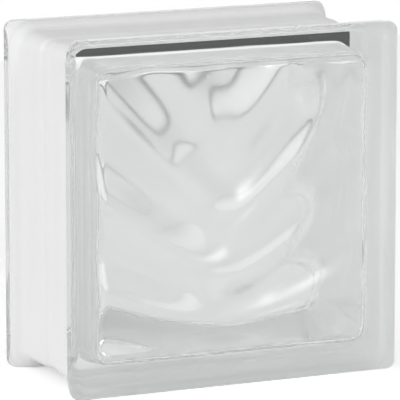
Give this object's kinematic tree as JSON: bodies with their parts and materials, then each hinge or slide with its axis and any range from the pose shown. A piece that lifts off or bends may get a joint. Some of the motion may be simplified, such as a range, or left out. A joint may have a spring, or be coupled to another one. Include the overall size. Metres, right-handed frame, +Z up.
{
  "type": "glass block",
  "caption": "Square hollow glass block with flat outer faces, wavy inner faces and a white-coated mortar channel round its edge, laid in mortar for walls that pass light.",
  "frame": {"origin": "bottom centre of the block, on the floor that its four-sided lips stand on", "axes": "+X across the face to the right as seen from the front, +Y from the front face to the back face, +Z up"},
  "size_m": [0.197, 0.0984, 0.197],
  "materials": {
    "glass": "clear pressed soda-lime glass with a faint grey-green tint, smooth and glossy",
    "coating": "thin opaque white edge coat, satin to matte"
  },
  "bodies": {
    "root": {"front_half": "glass", "back_half": "glass", "edge_coating": "coating"}
  },
  "joints": []
}
